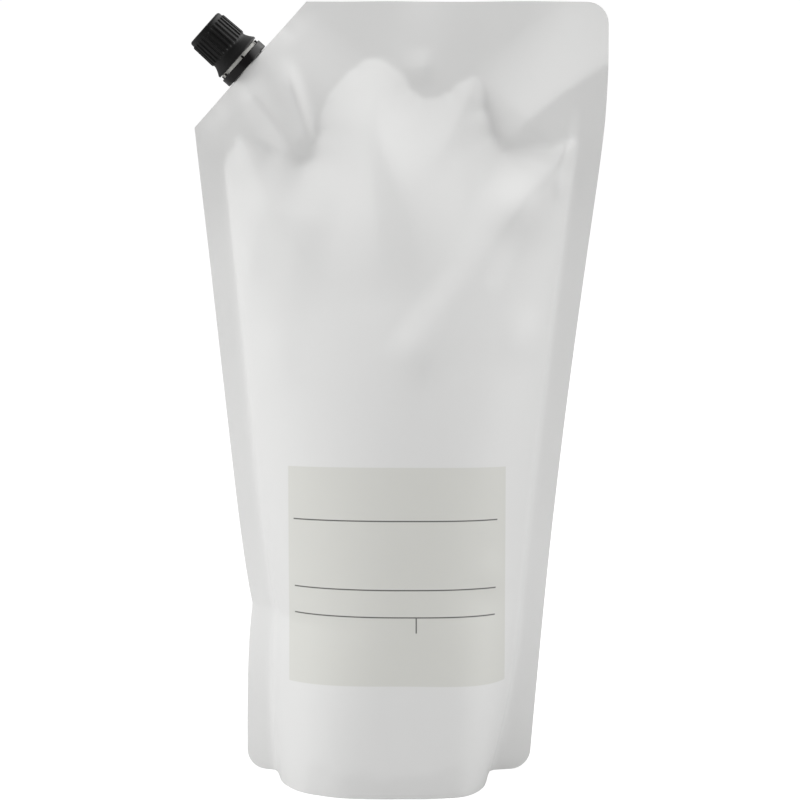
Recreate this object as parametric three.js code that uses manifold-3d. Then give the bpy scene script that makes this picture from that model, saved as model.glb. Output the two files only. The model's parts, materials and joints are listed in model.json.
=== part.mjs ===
// Stand-up refill pouch with a corner spout, a tamper ring and a ribbed screw cap.
// Millimetres, +Z up, front towards -Y. The origin is the middle of the base, on the floor.
import * as THREE from "three";
import { mergeVertices } from "three/addons/utils/BufferGeometryUtils.js";
import Module from "manifold-3d";

// Pouch outline, seen from the front
const HEIGHT = 282; // floor to top edge
const BASE_LEFT = 51.6; // upright left ear, from the middle
const BASE_RIGHT = 52.4; // right ear at the floor
const EAR_LEFT_HEIGHT = 69; // the left edge slants from here up to the cut
const PINCH = 2.8; // a buckle pulls the left edge in by this
const PINCH_HEIGHT = 61.5;
const PINCH_REACH = 16; // the buckle dies away over about this height
const WIDTH = 147.5; // between the left edge at the cut corner and the upright right edge
const SHOULDER_LEFT = 68.6; // left edge where the corner is cut
const TOP_RIGHT = WIDTH - SHOULDER_LEFT; // upright part of the right edge
const SHOULDER_DROP = 42; // the right edge turns upright this far below the top
const SIDE_BOW = 2.2; // how far the right edge bows in half way up
const EDGE_SOFTNESS = 2; // rounding where an edge changes direction
const TOP_CORNER_RADIUS = 7.6;
const EAR_RADIUS = 6.6;
const CUT_WIDTH = 40.2; // corner cut off for the spout, along X
const CUT_DROP = 44.8; // and along Z

// Film and seals
const FILM = 0.2; // one layer: a seal is two
const SIDE_SEAL = 8.5;
const LEFT_TUCK = 2.5; // the side seals are this much wider at the floor
const RIGHT_TUCK = 6;
const TUCK_REACH = 60; // and have their own width from this height up
const TOP_SEAL = 9.5;
const FOOT_BAND = 8; // height of the band along the foot, in its middle
const FOOT_BAND_RISE = 9; // that the height would gain as far as the side seals
const FOOT_BAND_END = 0.8; // share of the half width where the band ends
const FOOT_BAND_FADE = 0.25; // and over which it runs out
const FOOT_STEP = 1.6; // the band lies this far in at the floor,
const FOOT_STEP_REACH = 6; // most of it within this height
const GUSSET_LIFT = 3; // the base film rises this far inside the foot
const GUSSET_RIM = 3; // width of the foot on the floor
const GUSSET_SLOPE = 9; // width of the base film's rise, and of its fall

// How far the filled films stand off the seals' plane
const BELLY_DEPTH = 39;
const BACK_DEPTH = 35;
const FILL_DROP = 9.5; // the swelling runs out this far below the top
const FILL_POWER = 2.8; // how late the belly tapers
const FOOT_SQUARENESS = [2.8, 5.4]; // the foot's plan, left and right: 2 is round, more is squarer
const BODY_SQUARENESS = [1.9, 2.3]; // and that of the rest
const FOOT_BLEND = 76; // height over which the one turns into the other
const SEAL_ROUNDING = 2; // film turns into the side seals over this width
const CREASE_FADE = 14; // creases run out over this width beside the seals, and below the line
const WAVE_FADE = 6; // waves run out over this width beside the seals

// Line where the swelling meets the flat film above it: [x from the top's middle, drop below the top]
const FRONT_SHOULDER = [
  [-66, 80],
  [-64.5, 60],
  [-60.5, 48],
  [-45, 51.5],
  [-35, 55],
  [-32, 54],
  [-30.5, 46],
  [-29, 34],
  [-22, 24],
  [-10, 19],
  [-1, 23],
  [8.5, 34.5],
  [16, 33],
  [22, 28],
  [26.5, 25],
  [29.5, 28],
  [31, 38],
  [33.5, 47],
  [37, 50],
  [53, 48.5],
  [64, 46.5],
  [66, 58],
  [67, 80],
];
const BACK_SHOULDER = [
  [-66, 80],
  [-64, 60],
  [-56, 47],
  [-32, 59],
  [-22, 38],
  [-4, 20],
  [18, 36],
  [40, 27],
  [48, 46],
  [64, 50],
  [67, 80],
];
const SHOULDER_BLUNTING = 1.5; // rounds the corners of that line
const SHOULDER_STEP = 0.8; // the film steps off the flat by this,
const SHOULDER_STEP_WIDTH = 2.5; // over about this width,
const SHOULDER_SLOPE = 0.58; // then climbs at this slope to the belly
const SHOULDER_SHARPNESS = 9; // how sharply it turns into the belly

// Folds of the films. Their crests run along points like those above. The flanks' widths are to the left and
// right hand of someone who walks along the crest, and the ends run out over the length called fade.
const FRONT_CREASES = [
  { path: [[-42, 18], [-40.5, 24], [-36.7, 36.6], [-31, 56]], rise: 2.2, left: 5, right: 8, fade: 10 },
  { path: [[-58, 26], [-44.9, 41.9], [-36, 58]], rise: 1.8, left: 7, right: 8, fade: 10 },
  { path: [[7.4, 17], [8.2, 24], [8.6, 37]], rise: 0.8, left: 3, right: 9, fade: 5 },
];
const BACK_CREASES = [
  { path: [[-44, 35], [-30, 57]], rise: 2.5, left: 8, right: 8, fade: 10 },
  { path: [[28, 34], [76, 15]], rise: 4, left: 10, right: 10, fade: 10 },
];
const FRONT_WAVES = [
  { path: [[-59, 60], [-45, 63], [-35, 67], [-22, 64]], rise: 1, left: 10, right: 32, fade: 10 },
  { path: [[-6, 32], [-9, 60], [-10, 76], [-24, 100]], rise: 1, left: 30, right: 26, fade: 24 },
  { path: [[76, 36], [54.2, 57.9], [43.2, 69], [28, 88]], rise: 2, left: 10, right: 13, fade: 18 },
  { path: [[46, 60], [34, 78], [26, 97], [6, 123], [-2, 132]], rise: 1.8, left: 10, right: 12, fade: 16 },
];
const CREST_RADIUS = 3;
// Both films fold together towards the square corner; beyond the fold they stay out by a share of its rise
const CORNER_FOLD = {
  path: [[33, 60], [36.5, 50], [42.3, 41.2], [51.1, 33], [61.7, 25.9], [86, 14]],
  rise: 6.5,
  left: 24,
  right: 12,
  fade: 18,
};
const CORNER_STAND = 0.35;
const CORNER_STAND_REACH = 30;
// How far back the side seals' edges lie: [share of the height up to the cut, distance]
const LEFT_SWEEP = [[0, 4.5], [0.1, 4.5], [0.26, 6.5], [0.44, 4.5], [0.76, 3], [1, 0]];
const RIGHT_SWEEP = [[0, 3], [0.16, 3], [0.33, 4], [0.5, 3], [0.76, 2], [1, 0]];
const TOP_WAVE = 2; // the top seal waves this far out of its plane
const TOP_WAVE_LENGTH = 50;
const TOP_WAVE_START = 32; // where it crosses the plane, from the top's middle

// Spout, measured along its axis from the cut edge outwards
const SPOUT_SHIFT = -1.15; // along the cut, from its middle
const BORE_RADIUS = 4.9;
const WELD_LENGTH = 38; // foot of the spout, welded between the films
const WELD_DEPTH = 11.5;
const WELD_WALL = 1.1; // between the bore and the film
const WELD_TIP = 1; // thickness at the foot's ends
const NECK_WALL = 0.9;
const COLLAR_STEP = 1.6; // the neck is thicker under the bead
const BEAD_STEP = 1; // the bead holds the tamper ring down
const BEAD_HEIGHT = 2.1;
const BEAD_EDGE = 0.4; // bevel of the bead's top
const THREAD_HEIGHT = 0.5;
const THREAD_PITCH = 3;
const THREAD_TURNS = 2;
const THREAD_START = 2.5; // below the mouth

// Tamper ring
const RING_HEIGHT = 3.6;
const RING_WALL = 0.95;
const RING_LIP = 2.3; // the lip under the bead
const RING_EDGE = 0.35; // bevel of the outer edges
const BRIDGES = 6;
const BRIDGE_TURN = -17; // degrees about the axis
const BRIDGE_WIDTH = 1;
const BRIDGE_DEPTH = 0.6;
const BRIDGE_INSET = 0.15; // from the ring's outside
const SNAP_GAP = 1; // between ring and cap

// Cap
const CAP_HEIGHT = 16;
const CAP_WALL = 0.9; // between the thread's room and the outside
const CAP_TOP_WALL = 1.5;
const CAP_TAPER = 0.3; // the cap widens by this towards its waist
const CAP_FLARE = 4; // height of the flared skirt
const CAP_FLARE_OUT = 1.67; // how far the skirt stands out
const CAP_FLARE_CURVE = 1.4; // power of the flare's curve: 1 is a plain cone
const CAP_LIP = 0.7; // upright edge below the flare
const CAP_EDGE = 1; // rounding of the top edge
const CAP_SKIRT_WALL = 1;
const RIBS = 28;
const RIB_DEPTH = 0.5;
const RIB_START = 1.8; // below the cap's top
const RIB_END = 0.4; // above the flare
const RIB_RAMP = 0.6;

// Fits
const CLEARANCE = 0.3; // between pieces
const WELD_FILM = 0.8; // film over the spout's foot
const TENT_SPREAD = 32; // half width of the tent that the films make below that foot
const TENT_FADE = 65; // and its length

// Mesh fineness
const COLUMNS = 40;
const FOOT_ROWS = 4;
const BODY_ROWS = 10;
const SHOULDER_ROWS = 22;
const SHOULDER_BAND = 140; // the rows are close together this far below the top
const CUT_ROWS = 12;
const CORNER_ROWS = 4;
const GUSSET_STEPS = 10;
const ROUND_STEPS = 40;
const WELD_STEPS = 16;
const STEPS_PER_RIB = 4;
const FLARE_STEPS = 3;
const EDGE_STEPS = 2;
const THREAD_SIDES = 6;
const THREAD_STEPS = 16; // per turn
const SAME_POINT = 1e-4; // points closer than this are one

const wasm = await Module();
wasm.setup();

const clamp01 = (t) => Math.min(1, Math.max(0, t));
const ease = (t) => clamp01(t) ** 2 * (3 - 2 * clamp01(t));
const mix = (a, b, t) => a + (b - a) * t;
const softMax = (a, b, k) => (a + b + Math.hypot(a - b, k)) / 2;
const softMin = (a, b, k) => (a + b - Math.hypot(a - b, k)) / 2;

// Pouch outline
const cutFoot = HEIGHT - CUT_DROP;
const topMiddle = (TOP_RIGHT - SHOULDER_LEFT) / 2;
const earRadius = Math.min(EAR_RADIUS, SIDE_SEAL - 2 * FILM);
const topRadius = Math.min(TOP_CORNER_RADIUS, SIDE_SEAL - 2 * FILM);

function sideLeft(z) {
  const slant = mix(BASE_LEFT, SHOULDER_LEFT, (z - EAR_LEFT_HEIGHT) / (cutFoot - EAR_LEFT_HEIGHT));
  const buckle = PINCH * Math.exp(-Math.abs(z - PINCH_HEIGHT) / PINCH_REACH);
  return buckle - softMax(BASE_LEFT, slant, EDGE_SOFTNESS);
}

function sideRight(z) {
  const rise = z / (HEIGHT - SHOULDER_DROP);
  const bow = SIDE_BOW * Math.sin(Math.PI * clamp01(rise));
  return softMin(mix(BASE_RIGHT, TOP_RIGHT, rise) - bow, TOP_RIGHT, EDGE_SOFTNESS);
}

// Inner edges of the side seals
const tuck = (z) => clamp01(1 - z / TUCK_REACH) ** 2;
const innerLeft = (z) => sideLeft(z) + SIDE_SEAL + LEFT_TUCK * tuck(z);
const innerRight = (z) => sideRight(z) - SIDE_SEAL - RIGHT_TUCK * tuck(z);

// How far a rounded corner pulls the edge in, at a distance from the edge it ends on
function cornerPull(radius, distance) {
  const gap = Math.max(0, radius - distance);
  return radius - Math.sqrt(radius ** 2 - gap ** 2);
}

function edgeLeft(z) {
  if (z > cutFoot) return sideLeft(cutFoot) + (CUT_WIDTH * (z - cutFoot)) / CUT_DROP;
  return sideLeft(z) + cornerPull(earRadius, z);
}

function edgeRight(z) {
  return sideRight(z) - cornerPull(earRadius, z) - cornerPull(topRadius, HEIGHT - z);
}

// The spout stands square on the middle of the cut edge
const cutLength = Math.hypot(CUT_WIDTH, CUT_DROP);
const cutRun = CUT_WIDTH / cutLength;
const cutRise = CUT_DROP / cutLength;
const alongCut = cutLength / 2 + SPOUT_SHIFT;
const spoutX = sideLeft(cutFoot) + alongCut * cutRun;
const spoutZ = cutFoot + alongCut * cutRise;

// Half thickness of the spout's foot, at a distance along the cut
const weldHalf = BORE_RADIUS + WELD_WALL;
function weldProfile(along, extra) {
  const bow = 1 - (along / (WELD_LENGTH / 2 + extra)) ** 2;
  return WELD_TIP / 2 + extra + (weldHalf - WELD_TIP / 2) * bow;
}

// Film over the spout's foot, which runs out below it like a tent
function weldCover(x, z) {
  const along = (x - spoutX) * cutRun + (z - spoutZ) * cutRise;
  const inwards = (x - spoutX) * cutRise - (z - spoutZ) * cutRun;
  const beyond = Math.max(0, inwards - WELD_DEPTH);
  const welded = Math.max(0, weldProfile(along, CLEARANCE) + WELD_FILM);
  const ridge = weldProfile(0, CLEARANCE) + WELD_FILM;
  const tent = ridge * Math.max(0, 1 - (along / TENT_SPREAD) ** 2) ** 2;
  return mix(welded, tent, ease(inwards / WELD_DEPTH)) * (1 - ease(beyond / TENT_FADE));
}

// Place on a line's stretch that is nearest to a point
function nearestOn([x0, drop0], [x1, drop1], x, drop) {
  const [runX, runDrop] = [x1 - x0, drop1 - drop0];
  const length = Math.hypot(runX, runDrop);
  const share = clamp01(((x - x0) * runX + (drop - drop0) * runDrop) / length ** 2);
  const [offX, offDrop] = [x - x0 - share * runX, drop - drop0 - share * runDrop];
  const onLeft = offX * runDrop > offDrop * runX;
  return { gap: Math.hypot(offX, offDrop), along: share * length, length, onLeft };
}

// Value of a line of points at a place, straight between them or eased
function lineValue(points, place, blend = clamp01) {
  const next = points.findIndex((point) => point[0] >= place);
  if (next === 0) return points[0][1];
  if (next < 0) return points.at(-1)[1];
  const [start, low] = points[next - 1];
  const [end, high] = points[next];
  return mix(low, high, blend((place - start) / (end - start)));
}

// Distance below the shoulder's line, square to it, with its corners rounded; nothing above it
function depthUnder(points, x, drop) {
  if (drop <= lineValue(points, x)) return 0;
  let nearness = 0;
  for (let i = 1; i < points.length; i++) {
    nearness += Math.exp(-nearestOn(points[i - 1], points[i], x, drop).gap / SHOULDER_BLUNTING);
  }
  return Math.max(0, -SHOULDER_BLUNTING * Math.log(nearness));
}

// Height of a fold; beyond it, on its right, a share of the rise may be kept
function foldHeight(fold, x, drop, profile, kept = 0) {
  let nearest = { gap: Infinity };
  let walked = 0;
  for (let i = 1; i < fold.path.length; i++) {
    const place = nearestOn(fold.path[i - 1], fold.path[i], x, drop);
    if (place.gap < nearest.gap) nearest = { ...place, along: walked + place.along };
    walked += place.length;
  }
  const fromCrest = Math.hypot(nearest.gap, CREST_RADIUS) - CREST_RADIUS;
  const flank = profile(clamp01(1 - fromCrest / (nearest.onLeft ? fold.left : fold.right)));
  const stand = nearest.onLeft ? 0 : kept * ease(1 - nearest.gap / CORNER_STAND_REACH);
  const ends = ease(nearest.along / fold.fade) * ease((walked - nearest.along) / fold.fade);
  return fold.rise * mix(stand, 1, flank) * ends;
}
const creased = (t) => t ** 2;
const sumFolds = (folds, x, drop, profile) =>
  folds.reduce((sum, fold) => sum + foldHeight(fold, x, drop, profile), 0);

// How far one film stands off the seals' plane
function filmHeight(face, x, z) {
  const half = (innerRight(z) - innerLeft(z)) / 2;
  const across = (x - innerLeft(z)) / half - 1;
  const u = Math.min(1, Math.abs(across));
  const fromSide = (1 - u) * half;
  const fromTop = ease((HEIGHT - z - TOP_SEAL) / TOP_SEAL);
  const place = [x - topMiddle, HEIGHT - z];

  const taper = 1 - Math.min(1, z / (HEIGHT - FILL_DROP)) ** FILL_POWER;
  const depth = face.depth * taper;
  const hand = across < 0 ? 0 : 1;
  const squareness = mix(FOOT_SQUARENESS[hand], BODY_SQUARENESS[hand], ease(z / FOOT_BLEND));
  const section = (1 - u ** squareness) ** (1 - depth / half / 2);
  const belly = Math.max(FILM, depth * section * ease(fromSide / SEAL_ROUNDING));

  const below = depthUnder(face.shoulder, ...place);
  const step = SHOULDER_STEP * (1 - Math.exp(-below / SHOULDER_STEP_WIDTH));
  const facet = step + SHOULDER_SLOPE * below;
  const swell = facet / (1 + (facet / belly) ** SHOULDER_SHARPNESS) ** (1 / SHOULDER_SHARPNESS);

  const inCreases = fromTop * ease(fromSide / CREASE_FADE) * ease(1 - below / CREASE_FADE);
  const creases = sumFolds(face.creases, ...place, creased) * inCreases;
  const waves = sumFolds(face.waves, ...place, ease) * fromTop * ease(fromSide / WAVE_FADE);
  const inBand = Math.max(0, FOOT_BAND + FOOT_BAND_RISE * across ** 2 - z);
  const bandEnds = ease((FOOT_BAND_END - u) / FOOT_BAND_FADE);
  const footStep = FOOT_STEP * bandEnds * (1 - Math.exp(-inBand / FOOT_STEP_REACH));
  return Math.max(FILM, FILM + swell + weldCover(x, z) + creases + waves - footStep);
}

const front = { depth: BELLY_DEPTH, shoulder: FRONT_SHOULDER, creases: FRONT_CREASES, waves: FRONT_WAVES };
const back = { depth: BACK_DEPTH, shoulder: BACK_SHOULDER, creases: BACK_CREASES, waves: [] };

// How far the seals' plane lies back: the top waves, a corner is folded and the sides are swept back
function planeBend(x, z) {
  const wave = Math.sin((2 * Math.PI * (x - topMiddle - TOP_WAVE_START)) / TOP_WAVE_LENGTH);
  const upCut = (z - cutFoot) / CUT_DROP;
  const clearOfSpout = ease((x - spoutX - WELD_LENGTH / 2) / WELD_LENGTH);
  const corner = foldHeight(CORNER_FOLD, x - topMiddle, HEIGHT - z, creased, CORNER_STAND) * ease(upCut + 1);
  const intoLeft = Math.max(0, innerLeft(z) - x) / (innerLeft(z) - sideLeft(z));
  const intoRight = Math.max(0, x - innerRight(z)) / (sideRight(z) - innerRight(z));
  const leftSweep = lineValue(LEFT_SWEEP, z / cutFoot, ease) * intoLeft;
  const rightSweep = lineValue(RIGHT_SWEEP, z / cutFoot, ease) * intoRight;
  return TOP_WAVE * wave * ease(upCut) * clearOfSpout - corner + leftSweep + rightSweep;
}

// Heights of the mesh rows and places of its columns
const stretch = (from, to, count) =>
  Array.from({ length: count }, (_, k) => mix(from, to, (k + 1) / count));
const quarter = stretch(0, Math.PI / 2, CORNER_ROWS);
const rowHeights = [
  0,
  ...quarter.map((angle) => earRadius * (1 - Math.cos(angle))),
  ...stretch(earRadius, 2 * FOOT_BAND, FOOT_ROWS),
  ...stretch(2 * FOOT_BAND, HEIGHT - SHOULDER_BAND, BODY_ROWS),
  ...stretch(HEIGHT - SHOULDER_BAND, cutFoot, SHOULDER_ROWS),
  ...stretch(cutFoot, HEIGHT - topRadius, CUT_ROWS),
  ...quarter.map((angle) => HEIGHT - topRadius * (1 - Math.sin(angle))),
];

function columnPlaces(z) {
  const left = edgeLeft(z);
  const right = edgeRight(z);
  const filmLeft = z > cutFoot ? left + SIDE_SEAL : innerLeft(z);
  const filmRight = innerRight(z);
  const places = [left, (left + filmLeft) / 2];
  for (let k = 0; k <= COLUMNS; k++) {
    const even = k / COLUMNS;
    const crowded = (1 - Math.cos(Math.PI * even)) / 2;
    places.push(mix(filmLeft, filmRight, (even + crowded) / 2));
  }
  places.push((right + filmRight) / 2, right);
  return places;
}

// Lift of the base film, from its distance to the foot's edge
function gussetLift(distance) {
  const up = ease((distance - GUSSET_RIM) / GUSSET_SLOPE);
  const down = ease((distance - GUSSET_RIM - GUSSET_SLOPE) / GUSSET_SLOPE);
  return GUSSET_LIFT * (up - down);
}

// The pouch: two films and a base, sewn along shared rows of points
function pouchGeometry() {
  const points = [];
  const triangles = [];
  const addPoint = (x, y, z) => points.push(x, y, z) / 3 - 1;

  // Fills the strip between a lower and an upper row, both running left to right
  function stitch(lower, upper) {
    let i = 0;
    let j = 0;
    while (i < lower.length - 1 || j < upper.length - 1) {
      const lowerNext = (i + 1) / (lower.length - 1);
      const upperNext = (j + 1) / (upper.length - 1);
      if (j === upper.length - 1 || (i < lower.length - 1 && lowerNext <= upperNext)) {
        triangles.push(lower[i], lower[i + 1], upper[j]);
        i += 1;
      } else {
        triangles.push(lower[i], upper[j + 1], upper[j]);
        j += 1;
      }
    }
  }

  const film = (face, side) =>
    rowHeights.map((z) =>
      columnPlaces(z).map((x) => addPoint(x, planeBend(x, z) + side * filmHeight(face, x, z), z)),
    );
  const frontRows = film(front, -1);
  const backRows = film(back, 1);
  const top = rowHeights.length - 1;
  for (let j = 0; j < top; j++) {
    stitch(frontRows[j], frontRows[j + 1]);
    stitch(backRows[j].toReversed(), backRows[j + 1].toReversed());
    stitch([backRows[j][0], frontRows[j][0]], [backRows[j + 1][0], frontRows[j + 1][0]]);
    stitch([frontRows[j].at(-1), backRows[j].at(-1)], [frontRows[j + 1].at(-1), backRows[j + 1].at(-1)]);
  }
  stitch(frontRows[top], backRows[top]);

  // Base film between the front and back edges of the foot
  const footPlaces = columnPlaces(0);
  const [footLeft, footRight] = [footPlaces[2], footPlaces.at(-3)];
  const baseColumns = footPlaces.map((x, i) => {
    const column = [frontRows[0][i]];
    const frontY = -filmHeight(front, x, 0);
    const backY = filmHeight(back, x, 0);
    const toSeal = Math.min(x - footLeft, footRight - x);
    if (backY - frontY > 2 * GUSSET_RIM) {
      for (let k = 1; k < GUSSET_STEPS; k++) {
        const y = mix(frontY, backY, k / GUSSET_STEPS);
        column.push(addPoint(x, y, gussetLift(Math.min(y - frontY, backY - y, toSeal))));
      }
    }
    column.push(backRows[0][i]);
    return column;
  });
  for (let i = 0; i < baseColumns.length - 1; i++) stitch(baseColumns[i], baseColumns[i + 1]);

  const geometry = new THREE.BufferGeometry();
  geometry.setAttribute("position", new THREE.Float32BufferAttribute(points, 3));
  geometry.setIndex(triangles);
  return geometry;
}

// Joining and cutting
function toSolid(geometry) {
  const bare = new THREE.BufferGeometry();
  bare.setAttribute("position", geometry.getAttribute("position"));
  if (geometry.index) bare.setIndex(geometry.index);
  const merged = mergeVertices(bare, SAME_POINT);
  const corners = merged.index.array;
  const kept = [];
  for (let i = 0; i < corners.length; i += 3) {
    const [a, b, c] = corners.slice(i, i + 3);
    if (a !== b && b !== c && c !== a) kept.push(a, b, c);
  }
  const vertProperties = new Float32Array(merged.getAttribute("position").array);
  const triVerts = new Uint32Array(kept);
  return new wasm.Manifold(new wasm.Mesh({ numProp: 3, vertProperties, triVerts }));
}

function toGeometry(solid) {
  const mesh = solid.getMesh();
  const geometry = new THREE.BufferGeometry();
  geometry.setAttribute("position", new THREE.BufferAttribute(mesh.vertProperties, 3));
  geometry.setIndex(new THREE.BufferAttribute(mesh.triVerts, 1));
  geometry.computeVertexNormals();
  return geometry;
}

// Profile of [radius, height] points turned about +Z
function turned(profile, steps, phase = 0) {
  const points = profile.map(([radius, height]) => new THREE.Vector2(radius, height));
  return new THREE.LatheGeometry(points, steps, phase).rotateX(Math.PI / 2);
}

// The spout's foot, a pointed oval pressed along the axis
function weldGeometry(extra, bottom, top) {
  const half = WELD_LENGTH / 2 + extra;
  const edge = [-half, ...stretch(-half, half, WELD_STEPS)];
  const shape = new THREE.Shape();
  edge.forEach((along, k) => {
    if (k === 0) shape.moveTo(along, -weldProfile(along, extra));
    else shape.lineTo(along, -weldProfile(along, extra));
  });
  edge.toReversed().forEach((along) => shape.lineTo(along, weldProfile(along, extra)));
  shape.closePath();
  const pressed = new THREE.ExtrudeGeometry(shape, { depth: top - bottom, bevelEnabled: false });
  return pressed.translate(0, 0, bottom);
}

// Heights along the spout's axis
const ringFoot = CLEARANCE;
const ringTop = ringFoot + RING_HEIGHT;
const capFoot = ringTop + SNAP_GAP;
const capTop = capFoot + CAP_HEIGHT;
const mouth = capTop - CAP_TOP_WALL - CLEARANCE;
const beadFoot = ringFoot + RING_LIP + CLEARANCE;

// Radii about the spout's axis
const neckRadius = BORE_RADIUS + NECK_WALL;
const collarRadius = neckRadius + COLLAR_STEP;
const beadRadius = collarRadius + BEAD_STEP;
const threadRadius = neckRadius + THREAD_HEIGHT;
const ringRadius = beadRadius + CLEARANCE + RING_WALL;
const capRoom = threadRadius + CLEARANCE;
const capTopRadius = capRoom + CAP_WALL;
const capWaistRadius = capTopRadius + CAP_TAPER;
const capSkirtRadius = capWaistRadius + CAP_FLARE_OUT;

class ThreadPath extends THREE.Curve {
  getPoint(t, target = new THREE.Vector3()) {
    const angle = 2 * Math.PI * THREAD_TURNS * t;
    const height = mouth - THREAD_START - THREAD_PITCH * THREAD_TURNS * (1 - t);
    return target.set(neckRadius * Math.cos(angle), neckRadius * Math.sin(angle), height);
  }
}

function spoutGeometry() {
  const core = BORE_RADIUS + WELD_WALL / 2;
  const beadTop = beadFoot + BEAD_HEIGHT;
  const neck = turned(
    [
      [0, -WELD_DEPTH / 2],
      [core, -WELD_DEPTH / 2],
      [core, CLEARANCE],
      [collarRadius, CLEARANCE],
      [collarRadius, beadFoot],
      [beadRadius, beadFoot],
      [beadRadius, beadTop - BEAD_EDGE],
      [beadRadius - BEAD_EDGE, beadTop],
      [neckRadius, beadTop],
      [neckRadius, mouth],
      [0, mouth],
    ],
    ROUND_STEPS,
  );
  const ridge = new THREE.Shape();
  ridge.absarc(0, 0, THREAD_HEIGHT, 0, 2 * Math.PI);
  const thread = new THREE.ExtrudeGeometry(ridge, {
    extrudePath: new ThreadPath(),
    steps: THREAD_STEPS * THREAD_TURNS,
    curveSegments: THREAD_SIDES / 2,
  });
  const boreLength = 2 * (mouth + WELD_DEPTH);
  const bore = new THREE.CylinderGeometry(BORE_RADIUS, BORE_RADIUS, boreLength, ROUND_STEPS);
  const welded = toSolid(weldGeometry(0, -WELD_DEPTH, 0));
  const whole = toSolid(neck).add(welded).add(toSolid(thread));
  return toGeometry(whole.subtract(toSolid(bore.rotateX(Math.PI / 2))));
}

function ringGeometry() {
  const lipRadius = collarRadius + CLEARANCE;
  const roomRadius = beadRadius + CLEARANCE;
  const lipTop = ringFoot + RING_LIP;
  const body = turned(
    [
      [lipRadius, ringFoot],
      [ringRadius - RING_EDGE, ringFoot],
      [ringRadius, ringFoot + RING_EDGE],
      [ringRadius, ringTop - RING_EDGE],
      [ringRadius - RING_EDGE, ringTop],
      [roomRadius, ringTop],
      [roomRadius, lipTop],
      [lipRadius, lipTop],
      [lipRadius, ringFoot],
    ],
    ROUND_STEPS,
  );
  let ring = toSolid(body);
  const bridgeHeight = SNAP_GAP - CLEARANCE + RING_EDGE;
  for (let k = 0; k < BRIDGES; k++) {
    const bridge = new THREE.BoxGeometry(BRIDGE_DEPTH, BRIDGE_WIDTH, bridgeHeight);
    bridge.translate(ringRadius - BRIDGE_INSET - BRIDGE_DEPTH / 2, 0, ringTop - RING_EDGE + bridgeHeight / 2);
    const turn = BRIDGE_TURN + (360 * k) / BRIDGES;
    ring = ring.add(toSolid(bridge.rotateZ(THREE.MathUtils.degToRad(turn))));
  }
  return toGeometry(ring);
}

function capGeometry() {
  const flareTop = capFoot + CAP_FLARE;
  const ribFoot = flareTop + RIB_END;
  const ribTop = capTop - RIB_START;
  const upWall = (height) => (height - flareTop) / (capTop - flareTop);
  const outerRadius = (height) => mix(capWaistRadius, capTopRadius, upWall(height));
  const flare = stretch(1, 0, FLARE_STEPS).map((t) => [
    capWaistRadius + CAP_FLARE_OUT * t ** CAP_FLARE_CURVE,
    mix(flareTop, capFoot + CAP_LIP, t),
  ]);
  const edge = stretch(0, Math.PI / 2, EDGE_STEPS).map((angle) => [
    outerRadius(capTop) - CAP_EDGE * (1 - Math.cos(angle)),
    capTop - CAP_EDGE * (1 - Math.sin(angle)),
  ]);
  const walls = [ribFoot, ribFoot + RIB_RAMP, ribTop - RIB_RAMP, ribTop, capTop - CAP_EDGE];
  const profile = [
    [0, capTop - CAP_TOP_WALL],
    [capRoom, capTop - CAP_TOP_WALL],
    [capRoom, flareTop],
    [capSkirtRadius - CAP_SKIRT_WALL, capFoot],
    [capSkirtRadius, capFoot],
    [capSkirtRadius, capFoot + CAP_LIP],
    ...flare,
    ...walls.map((height) => [outerRadius(height), height]),
    ...edge,
    [0, capTop],
  ];
  const geometry = turned(profile, RIBS * STEPS_PER_RIB);
  const place = geometry.getAttribute("position");
  for (let i = 0; i < place.count; i++) {
    const [x, y, z] = [place.getX(i), place.getY(i), place.getZ(i)];
    const inRibs = z > ribFoot + RIB_RAMP / 2 && z < ribTop - RIB_RAMP / 2;
    const radius = Math.hypot(x, y);
    const onRib = Math.cos(RIBS * Math.atan2(y, x) + Math.PI / STEPS_PER_RIB) > 0;
    if (!inRibs || !onRib || radius < capTopRadius) continue;
    const crest = (radius + RIB_DEPTH) / radius;
    place.setXYZ(i, x * crest, y * crest, z);
  }
  return toGeometry(toSolid(geometry));
}

// Materials
const finish = (color, roughness) => new THREE.MeshStandardMaterial({ color, roughness, metalness: 0 });
const whiteFilm = finish(0xdcdcda, 0.45);
const palePlastic = finish(0xd8d8d4, 0.4);
const blackPlastic = finish(0x2a2a2a, 0.5);
const glossBlackPlastic = finish(0x1c1a1a, 0.3);

function named(name, geometry, material) {
  const mesh = new THREE.Mesh(geometry, material);
  mesh.name = name;
  return mesh;
}

// Assembly
const spoutGroup = new THREE.Group();
spoutGroup.position.set(spoutX, 0, spoutZ);
spoutGroup.rotation.y = Math.atan2(-CUT_DROP, CUT_WIDTH);
spoutGroup.updateMatrix();
spoutGroup.add(named("spout", spoutGeometry(), palePlastic));
spoutGroup.add(named("tamper_ring", ringGeometry(), glossBlackPlastic));
spoutGroup.add(named("cap", capGeometry(), blackPlastic));

const socket = weldGeometry(CLEARANCE, -WELD_DEPTH - CLEARANCE, WELD_DEPTH);
const cutter = toSolid(socket.applyMatrix4(spoutGroup.matrix));
const pouch = toGeometry(toSolid(pouchGeometry()).subtract(cutter));

const pack = new THREE.Group();
pack.add(named("pouch", pouch, whiteFilm));
pack.add(spoutGroup);

export default pack;
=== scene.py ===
"""Looks of a soap refill pouch: satin white film, printed label field, black screw cap on a corner spout."""

import json
import math

import bmesh
import bpy
import numpy as np
from mathutils import Matrix, Vector


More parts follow.
